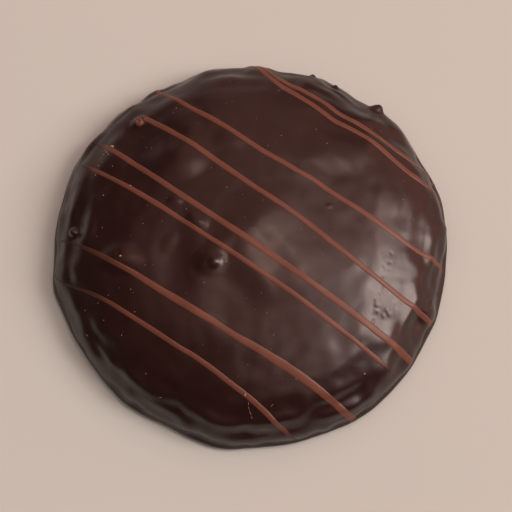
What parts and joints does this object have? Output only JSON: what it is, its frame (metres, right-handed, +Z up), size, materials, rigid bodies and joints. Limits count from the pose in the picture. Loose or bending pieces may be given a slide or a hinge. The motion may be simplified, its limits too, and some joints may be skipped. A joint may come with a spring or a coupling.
{
  "type": "chocolate-coated lebkuchen",
  "caption": "Round gingerbread biscuit in dark chocolate, a low dome with a lumpy coat, a rounded shoulder and thin milk chocolate lines drizzled across it.",
  "frame": {"origin": "on the flat base, under the middle of the outline", "axes": "+Z up from the base to the crown; +X towards the right of the drizzled lines' lower ends and +Y away from the viewer when the lines fall from upper left to lower right"},
  "size_m": [0.0878, 0.0884, 0.0184],
  "materials": {
    "dark_chocolate": "satin",
    "milk_chocolate": "satin",
    "baked_crumb": "matte"
  },
  "bodies": {
    "root": {"coated_lebkuchen": "dark_chocolate"}
  },
  "joints": []
}
